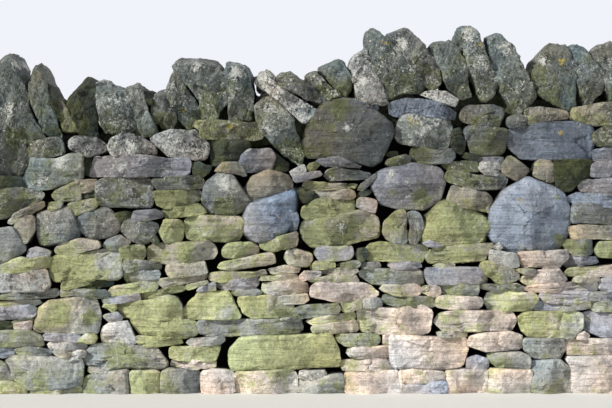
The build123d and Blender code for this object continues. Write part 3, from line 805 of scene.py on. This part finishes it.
    ("T", 4, 0, (259, 280), (262, 277), (272, 276), (285, 276), (297, 275), (299, 279), (290, 281), (275, 281)),
    ("P", 11, 6, (310, 296), (311, 288), (315, 284), (330, 284), (350, 284), (362, 284), (370, 286), (376, 290),
     (379, 294), (372, 299), (360, 300), (350, 302), (341, 303), (333, 301), (326, 298), (315, 298)),
    ("P", 6, 2, (380, 289), (384, 286), (400, 286), (415, 285), (420, 287), (420, 294), (412, 296), (395, 295)),
    ("G", 6, 0, (384, 303), (384, 296), (395, 296), (410, 297), (425, 297), (434, 298), (436, 304), (434, 307),
     (420, 307), (400, 307)),
    ("Y", 5, 0, (341, 309), (343, 304), (352, 301), (361, 300), (361, 309), (345, 312)),
    ("W", 5, 0, (362, 300), (375, 299), (381, 300), (382, 306), (372, 308), (362, 309)),
    ("P", 7, 2, (262, 284), (280, 282), (300, 281), (307, 284), (308, 292), (300, 294), (285, 295), (268, 296),
     (262, 292)),
    ("T", 5, 0, (277, 300), (282, 297), (295, 296), (307, 295), (308, 300), (303, 303), (290, 304), (281, 304)),
    ("G", 6, 0, (296, 309), (300, 306), (315, 305), (330, 303), (338, 304), (340, 309), (338, 313), (325, 315),
     (312, 317), (300, 319)),
    ("Y", 5, 0, (306, 322), (315, 319), (330, 317), (345, 314), (354, 313), (355, 318), (345, 321), (330, 322),
     (315, 325)),
    ("T", 7, 2, (311, 330), (313, 326), (325, 324), (340, 322), (355, 321), (358, 327), (357, 331), (345, 333),
     (330, 334), (315, 334)),
    ("P", 14, 8, (358, 318), (358, 311), (375, 309), (400, 307), (424, 307), (432, 312), (432, 320), (430, 332),
     (420, 335), (400, 334), (385, 334), (370, 333), (361, 330)),
    ("G", 7, 0, (336, 339), (337, 335), (350, 334), (365, 334), (378, 335), (379, 341), (375, 346), (360, 347),
     (345, 346)),
    ("P", 3, 0, (383, 345), (384, 336), (390, 336), (390, 345)),
    ("P", 15, 10, (391, 345), (391, 336), (405, 336), (425, 336), (445, 337), (460, 338), (467, 340), (468, 348),
     (466, 358), (463, 366), (450, 369), (430, 370), (410, 369), (395, 368), (391, 358)),
    ("P", 7, 0, (347, 354), (349, 349), (360, 348), (375, 348), (388, 347), (390, 350), (389, 357), (375, 359),
     (355, 359)),
    ("P", 7, 0, (341, 362), (348, 360), (365, 360), (385, 359), (392, 362), (398, 369), (390, 371), (365, 371),
     (343, 370)),
    ("Y", 16, 12, (229, 362), (230, 350), (235, 343), (241, 338), (255, 337), (275, 336), (295, 335), (315, 334),
     (330, 335), (334, 342), (338, 350), (340, 358), (340, 366), (325, 367), (300, 368), (280, 368), (265, 369),
     (245, 371), (232, 370)),
    ("Y", 7, 2, (170, 358), (170, 348), (185, 347), (205, 347), (220, 347), (219, 353), (215, 360), (195, 361)),
    ("P", 4, 0, (170, 366), (171, 362), (195, 362), (215, 361), (215, 367), (205, 369), (188, 370)),
    ("W", 6, 0, (186, 343), (190, 340), (200, 338), (215, 337), (224, 337), (224, 341), (220, 345), (205, 347),
     (192, 346)),
    ("G", 9, 4, (197, 324), (200, 322), (215, 321), (235, 320), (260, 319), (285, 319), (300, 319), (303, 324),
     (303, 330), (298, 333), (280, 334), (260, 335), (240, 335), (220, 336), (205, 336), (200, 333)),
    ("Y", 14, 6, (181, 312), (186, 306), (192, 300), (198, 294), (206, 292), (218, 292), (228, 293), (232, 298),
     (236, 305), (240, 312), (241, 317), (235, 319), (220, 319), (205, 320), (190, 320), (182, 319)),
    ("Y", 9, 4, (238, 302), (238, 298), (245, 297), (258, 296), (270, 296), (280, 298), (283, 304), (292, 305),
     (294, 311), (297, 317), (285, 318), (265, 319), (252, 318), (244, 313)),
    ("G", 4, 0, (230, 294), (233, 291), (245, 290), (257, 290), (261, 293), (258, 296), (245, 297)),
    ("M", 7, 0, (216, 287), (217, 283), (225, 281), (240, 280), (252, 278), (258, 278), (258, 284), (255, 288),
     (240, 289), (225, 290)),
    ("T", 5, 0, (209, 280), (210, 274), (222, 272), (240, 272), (255, 273), (265, 271), (266, 274), (258, 277),
     (240, 280), (222, 282)),
    ("T", 7, 2, (217, 268), (220, 264), (232, 261), (245, 258), (258, 256), (270, 253), (274, 255), (275, 263),
     (262, 266), (245, 268), (230, 270)),
    ("Y", 8, 2, (223, 257), (223, 248), (228, 244), (240, 243), (250, 243), (254, 246), (258, 248), (257, 255),
     (250, 256), (240, 258)),
    ("Y", 8, 4, (260, 247), (261, 242), (275, 240), (285, 237), (292, 233), (297, 233), (298, 241), (296, 246),
     (285, 250), (270, 252)),
    ("Y", 14, 8, (184, 225), (186, 219), (195, 216), (210, 216), (225, 216), (240, 218), (243, 222), (242, 232),
     (240, 239), (230, 242), (215, 241), (200, 240), (188, 239)),
    ("Y", 9, 2, (159, 232), (161, 225), (165, 220), (172, 219), (180, 221), (183, 226), (183, 234), (181, 240),
     (175, 242), (165, 242)),
    ("D", 4, -8, (150, 240), (155, 236), (158, 242), (156, 245)),
    ("T", 6, 2, (166, 271), (167, 266), (180, 264), (195, 262), (203, 262), (206, 266), (207, 273), (200, 275),
     (185, 276), (170, 277)),
    ("T", 5, 0, (157, 282), (158, 280), (170, 278), (185, 276), (197, 275), (207, 275), (206, 279), (197, 281),
     (180, 285), (165, 287)),
    ("Y", 3, 0, (184, 288), (186, 286), (197, 283), (207, 281), (208, 283), (198, 287), (188, 290)),
    ("M", 2, 0, (197, 291), (200, 288), (207, 287), (209, 290), (200, 292)),
    ("G", 3, 0, (208, 291), (208, 284), (215, 283), (215, 291)),
    ("B", 6, -20, (290, 216), (297, 213), (298, 222), (296, 230), (290, 232)),
    ("P", 9, 4, (468, 345), (470, 338), (480, 335), (510, 333), (522, 336), (524, 345), (520, 350), (505, 352),
     (488, 351), (478, 347)),
    ("Y", 10, 4, (519, 318), (525, 313), (545, 312), (575, 312), (583, 315), (583, 328), (577, 332), (575, 338),
     (560, 339), (530, 337), (523, 330)),
    ("P", 11, 6, (435, 322), (440, 315), (455, 311), (480, 311), (500, 312), (513, 313), (517, 322), (512, 330),
     (490, 331), (470, 332), (445, 331)),
    ("T", 4, 0, (437, 333), (455, 332), (468, 333), (467, 337), (450, 337), (438, 336)),
    ("M", 12, 4, (584, 315), (590, 313), (612, 313), (631, 313), (631, 337), (600, 336), (588, 332), (584, 325)),
    ("P", 3, 0, (578, 334), (585, 332), (590, 336), (588, 339), (578, 339)),
    ("G", 9, 2, (525, 340), (545, 339), (565, 340), (566, 350), (560, 360), (535, 358), (526, 350)),
    ("P", 9, 2, (568, 342), (580, 340), (612, 340), (631, 340), (631, 355), (590, 356), (570, 355)),
    ("G", 8, 0, (488, 355), (500, 353), (520, 353), (530, 357), (530, 368), (500, 368), (490, 362)),
    ("M", 7, -8, (468, 360), (478, 357), (488, 361), (489, 369), (468, 370)),
]

courses = range(1, 8)


def course_at(outline):
    """Number of the CAD course whose front face holds the middle of an outline."""
    x = sum(p.x for p in outline) / len(outline)
    z = sum(p.y for p in outline) / len(outline)
    spot = Vector((x, -half_width(z), z))
    reached = []
    for number in courses:
        found = nodes[f"front_course_{number}"].closest_point_on_mesh(spot)
        reached.append(((found[1] - spot).length, number))
    return min(reached)[1]


by_course = {number: [] for number in courses}
for stone in walling_stones:
    by_course[course_at([on_face(spot) for spot in stone[3:]])].append(stone)

for number, stones in by_course.items():
    for side, face, spacing in ((-1, "front", front_spacing), (1, "back", back_spacing)):
        bm = build_skin(stones, side, 1000 * number + 7 * side, spacing)
        finish_piece(bm, f"{face}_walling_{number}", walling_stone, "walling_stone", f"{face}_course_{number}")

# Through stones
# Long stones that cross the whole wall at mid height and tie its two faces together. Their ends show
# among the walling on both sides.
through_stones = [
    ("G", 12, 4, (37, 219), (38, 214), (45, 212), (55, 210), (66, 208), (70, 212), (73, 220), (75, 230), (74, 238),
     (66, 240), (55, 242), (48, 244), (41, 244), (39, 240), (37, 228)),
    ("B+", 18, 8, (245, 222), (247, 213), (250, 206), (256, 203), (266, 202), (276, 198), (286, 195), (292, 193),
     (293, 203), (291, 213), (289, 222), (284, 230), (276, 236), (266, 240), (257, 241), (251, 236), (246, 230)),
    ("Y", 13, 6, (424, 235), (428, 222), (434, 212), (440, 206), (450, 204), (462, 206), (470, 210), (476, 216),
     (486, 220), (489, 226), (485, 233), (480, 241), (470, 243), (450, 244), (435, 243), (426, 241)),
]
# The packing blocks behind the through stones are tone D, painted shade in the gaps.
packing = [
    ((30, 262), (30, 200), (80, 200), (80, 262)),
    ((236, 266), (236, 190), (302, 190), (302, 266)),
    ((418, 264), (418, 200), (494, 200), (494, 264)),
]
bm = new_mesh()
for i, spots in enumerate(packing):
    lay_stone(bm, "D", 0.01, [on_face(spot) for spot in spots], -0.12, 0.24, 520 + i, both_faces=True,
              spacing=0.03)
for i, (tone, arris, proud, *spots) in enumerate(through_stones):
    outline = [on_face(spot) for spot in spots]
    reach = half_width(sum(p.y for p in outline) / len(outline)) + proud / 1000
    lay_stone(bm, tone, arris / 1000, outline, -reach, 2 * reach, 500 + i, both_faces=True,
              swell=0.35)
finish_piece(bm, "through_walling", walling_stone, "walling_stone", "through_stones")

# Built ends
# Each end of the length is closed by long ties laid across the wall in every other course, with corner
# stones and small fillers between them in the others.
head_length = 0.196
head_beds = {
    -1: (0, 0.140, 0.248, 0.372, 0.480, 0.588, 0.736, 0.868, 0.936),
    1: (0, 0.160, 0.216, 0.324, 0.456, 0.520, 0.680, 0.920, 1.088),
}
ties = new_mesh()
fillers = new_mesh()
for end, beds in head_beds.items():
    far, near = end * (wall_end - 0.008), end * (wall_end - head_length)
    for number in range(8):
        low, high = beds[number] + 0.003, beds[number + 1] - 0.003
        dice = random.Random(number + 40 * end)
        reach = half_width((low + high) / 2)
        tone = dice.choice("GGBYTPM")
        block = [(far, low), (near, low), (near, high), (far, high)]
        middle_of = ((far + near) / 2, (low + high) / 2)
        block = [(x + dice.uniform(0, 0.012) * (-1 if x > middle_of[0] else 1), z) for x, z in block]
        if number % 2:
            lay_stone(ties, tone, 0.014, block, -reach, 2 * reach, 600 + number * end, both_faces=True, side_wear=1.0,
                      ragged=1.0)
        else:
            lay_stone(fillers, tone, 0.010, block, -0.152, 0.304, 650 + number * end, both_faces=True, side_wear=1.0,
                      ragged=1.0)
finish_piece(ties, "head_walling", walling_stone, "walling_stone", "head_ties")
finish_piece(fillers, "head_filling", walling_stone, "hearting_stone", "head_fillers")

# Hearting
# The broken stone packed by hand between the two faces. Only its edges show in the open joints, painted near-black as
# shade.
hearting_stone = bpy.data.materials.new("hearting_stone")
hearting_stone.use_nodes = True
hearting_shader = hearting_stone.node_tree.nodes["Principled BSDF"]
# Near-black: painted shade in the open joints.
hearting_shader.inputs["Base Color"].default_value = (0.02, 0.022, 0.016, 1.0)
hearting_shader.inputs["Roughness"].default_value = 0.95
nodes["hearting"].data.materials.clear()
nodes["hearting"].data.materials.append(hearting_stone)

# Cover stones
# Flat stones laid right across the wall on top of the last course. They hold the two faces together
# and carry the cope.
cope_stone = stone_material("cope_stone", bedding=72, coarse=0.9,
                            crusts=((62.0, 0.9), (42.0, 0.4), (105.0, 0.95)))
cover_stones = [
    ("G", 12, 6, (29, 158), (28, 148), (31, 143), (40, 140), (50, 138), (60, 138), (63, 145), (64, 153), (58, 156),
     (49, 158), (38, 159)),
    ("W-", 12, 6, (69, 147), (70, 140), (75, 137), (84, 136), (95, 137), (102, 141), (106, 146), (105, 150),
     (97, 153), (88, 156), (83, 154), (74, 151)),
    ("W", 12, 6, (108, 147), (110, 140), (115, 136), (122, 134), (132, 135), (140, 137), (146, 140), (152, 145),
     (155, 150), (153, 155), (145, 157), (138, 156), (133, 154), (122, 153), (115, 156), (111, 155)),
    ("W", 14, 8, (150, 139), (153, 136), (160, 134), (170, 131), (185, 131), (197, 131), (199, 140), (207, 142),
     (208, 148), (205, 158), (195, 159), (180, 158), (168, 155), (160, 149), (154, 144)),
    ("Y", 9, 6, (194, 125), (196, 121), (210, 121), (225, 121), (240, 122), (256, 123), (262, 129), (262, 137),
     (255, 139), (240, 139), (225, 139), (210, 139), (200, 138), (201, 130)),
    ("B", 7, 4, (340, 98), (363, 103), (379, 106), (378, 109), (352, 103)),
    ("B", 9, 6, (389, 104), (405, 98), (440, 102), (456, 112), (455, 119), (430, 117), (415, 114), (400, 116),
     (391, 114)),
    ("W", 5, 2, (420, 94), (432, 90), (443, 91), (458, 100), (455, 106), (440, 100)),
    ("G", 11, 6, (461, 118), (462, 110), (468, 106), (480, 105), (495, 106), (504, 110), (503, 118), (500, 126),
     (490, 128), (480, 125), (465, 122)),
    ("T", 8, 4, (526, 112), (530, 108), (545, 107), (560, 109), (567, 112), (569, 117), (560, 120), (545, 122),
     (530, 124), (527, 120)),
    ("T", 10, 6, (571, 117), (574, 108), (585, 106), (600, 104), (612, 103), (631, 103), (631, 123), (612, 124),
     (595, 125), (590, 122), (582, 119)),
]
packing_half_width = 0.14
bed_spots = ((-67, 158, 140), (-40, 157, 139), (0, 156, 138), (40, 155, 137), (81, 153, 134), (120, 150, 130),
             (160, 147, 127), (190, 143, 92), (212, 141, 98), (231, 139, 116), (262, 136, 113), (306, 128, 106), (344, 122, 89),
             (381, 118, 97), (420, 119, 92), (456, 119, 95), (494, 119, 94), (531, 120, 100), (568, 120, 99),
             (606, 119, 98), (644, 119, 98), (679, 119, 98))
bm = new_mesh()
# Packing blocks under the cover stones, tone D: painted shade in the gaps between them.
for i, (left, right) in enumerate(zip(bed_spots, bed_spots[1:])):
    block = [on_face(spot) for spot in ((left[0], left[1] + 8), (left[0], left[2]), (right[0], right[2]),
                                        (right[0], right[1] + 8))]
    lay_stone(bm, "D", 0.012, block, -packing_half_width, 2 * packing_half_width, 740 + i, both_faces=True)
for i, (tone, arris, proud, *spots) in enumerate(cover_stones):
    outline = [on_face(spot) for spot in spots]
    reach = half_width(sum(p.y for p in outline) / len(outline)) + proud / 1000
    lay_stone(bm, tone, arris / 1000, outline, -reach, 2 * reach, 700 + i, both_faces=True, side_wear=0.7)
finish_piece(bm, "cover_slabs", cope_stone, "cope_stone", "cover_stones")

# Cope
# Heavy slabs set on edge across the top, all leaning on the built end to the left, and small stones
# wedged between them. Their weight keeps the wall together.
cope_plane = 0.205
cope_outlines = {
    "cope_01": ("C", 14, (-67, 140), (-67, 66), (-62, 60), (-50, 60), (-44, 68), (-40, 140)),
    "cope_02": ("C", 14, (-40, 138), (-46, 78), (-42, 66), (-32, 64), (-24, 74), (-14, 110), (-12, 138)),
    "cope_03": ("C", 16, (-30, 95), (-10, 84), (0, 86), (5, 108), (14, 130), (24, 146), (28, 156), (22, 170),
                (14, 178), (2, 176), (-10, 170), (-25, 150), (-35, 120)),
    "cope_04": ("C", 14, (-6, 60), (0, 53), (7, 51), (12, 60), (20, 75), (26, 90), (30, 115), (38, 128), (45, 140),
                (26, 143), (14, 132), (5, 108), (0, 85)),
    "cope_05": ("C", 12, (30, 66), (33, 62), (38, 66), (42, 82), (50, 108), (60, 137), (50, 139), (42, 132),
                (34, 108), (28, 92), (27, 82)),
    "cope_07": ("D", 14, (85, 75), (95, 81), (97, 100), (97, 136), (80, 136), (70, 115), (64, 106), (68, 94),
                (78, 81)),
    "cope_08": ("C", 12, (96, 82), (99, 79), (110, 83), (123, 88), (128, 98), (134, 118), (136, 131), (112, 131),
                (104, 133), (97, 105)),
    "cope_09": ("C+", 11, (125, 87), (128, 84), (136, 82), (141, 86), (146, 100), (151, 114), (155, 133), (142, 136),
                (133, 112), (127, 97)),
    "cope_11": ("C", 14, (173, 68), (177, 69), (184, 81), (191, 94), (197, 106), (200, 120), (188, 129), (179, 119),
                (171, 103), (166, 90), (168, 80)),
    "cope_12": ("C", 16, (171, 62), (179, 57), (200, 57), (213, 60), (222, 70), (227, 88), (226, 102), (212, 120),
                (202, 115), (201, 100), (188, 82), (178, 69)),
    "cope_13": ("C", 13, (224, 66), (227, 60), (240, 61), (248, 68), (253, 90), (250, 119), (230, 120), (227, 103),
                (224, 80)),
    "cope_15": ("W", 13, (255, 76), (260, 67), (266, 68), (276, 80), (290, 91), (304, 101), (318, 111), (304, 121),
                (290, 110), (270, 92)),
    "cope_16": ("G", 11, (275, 79), (280, 71), (288, 70), (300, 79), (314, 88), (328, 97), (320, 104), (302, 95),
                (288, 87)),
    "cope_18": ("C+", 14, (319, 67), (328, 62), (337, 59), (342, 61), (347, 69), (352, 76), (352, 88), (345, 97),
                (339, 93), (328, 76)),
    "cope_19": ("W", 14, (351, 60), (359, 50), (366, 46), (370, 50), (374, 64), (379, 82), (387, 101), (384, 103),
                (360, 101), (356, 92), (353, 72)),
    "cope_20": ("C", 16, (368, 30), (373, 26), (379, 28), (394, 42), (405, 57), (416, 73), (425, 89), (400, 93),
                (390, 97), (382, 88), (377, 75), (371, 52)),
    "cope_21": ("G", 14, (387, 33), (396, 29), (407, 24), (412, 29), (425, 45), (440, 66), (441, 82), (433, 90),
                (420, 78), (408, 60), (396, 44)),
    "cope_22": ("C", 14, (432, 45), (437, 39), (450, 38), (459, 44), (465, 58), (468, 75), (470, 97), (463, 99),
                (451, 89), (445, 72), (437, 57)),
    "cope_23": ("C", 15, (460, 28), (465, 23), (471, 20), (477, 21), (483, 38), (490, 56), (496, 76), (500, 86),
                (491, 99), (486, 100), (479, 94), (478, 82), (469, 66), (466, 45)),
    "cope_24": ("C", 16, (491, 36), (496, 32), (502, 31), (513, 40), (519, 54), (528, 74), (537, 98), (521, 114),
                (517, 114), (506, 90), (497, 76), (491, 58)),
    "cope_25": ("C", 18, (528, 78), (538, 65), (541, 56), (551, 46), (560, 41), (571, 44), (574, 60), (576, 75),
                (574, 108), (570, 112), (556, 102), (540, 91)),
    "cope_26": ("C", 15, (573, 50), (580, 42), (588, 44), (597, 57), (606, 72), (609, 83), (600, 96), (588, 108),
                (584, 102), (580, 85), (575, 68)),
    "cope_27": ("C", 14, (596, 50), (604, 43), (612, 41), (625, 44), (638, 100), (612, 101), (607, 78), (603, 62)),
    "cope_28": ("C", 14, (628, 50), (634, 45), (646, 46), (654, 60), (661, 101), (640, 101), (636, 80)),
    "cope_29": ("C", 14, (650, 48), (658, 40), (670, 42), (677, 60), (680, 101), (663, 101), (658, 70)),
}
wedge_outlines = [
    ("Y", 9, (51, 102), (55, 97), (61, 99), (66, 112), (77, 132), (63, 132), (55, 115)),
    ("G", 10, (151, 96), (156, 90), (170, 89), (171, 105), (175, 120), (170, 130), (163, 130), (152, 117)),
    ("C+", 13, (256, 100), (262, 92), (270, 91), (283, 103), (293, 120), (305, 150), (300, 165), (284, 154),
     (262, 131), (256, 118)),
    ("G", 9, (305, 73), (310, 69), (316, 68), (324, 75), (332, 85), (340, 95), (329, 97), (315, 86)),
    ("D", 7, (42, 82), (48, 84), (52, 98), (60, 120), (52, 112), (46, 98)),
    ("D", 8, (142, 88), (151, 90), (152, 104), (146, 104)),
]


def on_cope(spot):
    """The place of a spot of the photograph on the upright plane of the cope's front, as (x, z)."""
    away = (eye_distance - cope_plane) * pixel / face_distance
    return Vector(((spot[0] - picture_middle[0]) * away, eye_height + (picture_middle[1] - spot[1]) * away))


def rounded_top(foot, top, drop):
    """A profile across the wall whose top is lower towards both faces."""
    def move(place, through):
        out = abs(2 * through - 1) ** 3
        height = max(0.0, min(1.0, (place.y - foot) / (top - foot)))
        return Vector((place.x, place.y - drop * out * height ** 2))
    return move


def lay_cope(bm, tone, arris, spots, seed):
    """One cope stone right across the wall."""
    outline = [on_cope(spot) for spot in spots]
    outline = [Vector((max(-1.494, min(1.494, p.x)), min(1.474, p.y))) for p in outline]
    foot, top = min(p.y for p in outline), max(p.y for p in outline)
    dice = random.Random(seed)
    reach = cope_plane - dice.uniform(-0.004, 0.012)
    lay_stone(bm, tone, arris / 1000, outline, -reach, 2 * reach, seed, both_faces=True, side_wear=0.9,
              rough=1.2, ragged=0.9, exposed=True, shoulder=rounded_top(foot, top, dice.uniform(0.015, 0.045)))


for i, (name, (tone, arris, *spots)) in enumerate(cope_outlines.items()):
    bm = new_mesh()
    lay_cope(bm, tone, arris, spots, 800 + i)
    finish_piece(bm, name + "_slab", cope_stone, "cope_stone", name)
bm = new_mesh()
for i, (tone, arris, *spots) in enumerate(wedge_outlines):
    lay_cope(bm, tone, arris, spots, 880 + i)
finish_piece(bm, "cope_wedge_stones", cope_stone, "cope_stone", "cope_wedges")

# Floor, light and camera
bpy.ops.mesh.primitive_plane_add(size=60)
floor = bpy.context.object
floor.name = "floor"
floor_paint = bpy.data.materials.new("floor_paint")
floor_paint.use_nodes = True
floor_shader = floor_paint.node_tree.nodes["Principled BSDF"]
floor_shader.inputs["Base Color"].default_value = (0.72, 0.72, 0.70, 1.0)
floor_shader.inputs["Roughness"].default_value = 0.9
floor.data.materials.append(floor_paint)
floor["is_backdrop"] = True

world = bpy.data.worlds.new("studio")
bpy.context.scene.world = world
world.use_nodes = True
sky = world.node_tree
background = sky.nodes["Background"]
background.inputs["Color"].default_value = (0.92, 0.94, 1.0, 1.0)
path = sky.nodes.new("ShaderNodeLightPath")
seen = math_node(sky, "MAXIMUM", path.outputs["Is Camera Ray"], path.outputs["Is Glossy Ray"])
seen = math_node(sky, "MAXIMUM", seen, path.outputs["Is Transmission Ray"])
level = sky.nodes.new("ShaderNodeMapRange")
level.inputs["To Min"].default_value = 0.33
level.inputs["To Max"].default_value = 0.95
sky.links.new(seen, level.inputs["Value"])
sky.links.new(level.outputs["Result"], background.inputs["Strength"])


def lamp(name, place, target, power, size, colour):
    """A soft square lamp that looks at a point."""
    light = bpy.data.lights.new(name, "AREA")
    light.energy = power
    light.size = size
    light.color = colour
    made = bpy.data.objects.new(name, light)
    made.location = place
    made.rotation_mode = "QUATERNION"
    made.rotation_quaternion = (Vector(target) - Vector(place)).to_track_quat("-Z", "Y")
    bpy.context.scene.collection.objects.link(made)


sunlight = bpy.data.lights.new("sunlight", "SUN")
sunlight.energy = 4.3
sunlight.angle = math.radians(5)
sunlight.color = (1.0, 0.96, 0.90)
sun = bpy.data.objects.new("sunlight", sunlight)
sun.rotation_mode = "QUATERNION"
sun.rotation_quaternion = Vector((0.74, 0.46, -0.5)).to_track_quat("-Z", "Y")
bpy.context.scene.collection.objects.link(sun)
lamp("fill", (5.0, -6.0, 2.5), (0, 0, 0.7), 70, 4.0, (0.92, 0.96, 1.0))
lamp("back", (2.5, 6.0, 4.5), (0, 0, 0.7), 330, 3.0, (1.0, 1.0, 1.0))

lens = bpy.data.cameras.new("camera")
lens.sensor_width = 36.0
lens.lens = 36.0 * face_distance / (612 * pixel)
camera = bpy.data.objects.new("camera", lens)
camera.location = (0, -eye_distance, eye_height)
camera.rotation_euler = (math.radians(90), 0, 0)
bpy.context.scene.collection.objects.link(camera)
bpy.context.scene.camera = camera
bpy.context.scene.view_settings.view_transform = "Standard"

low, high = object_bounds()
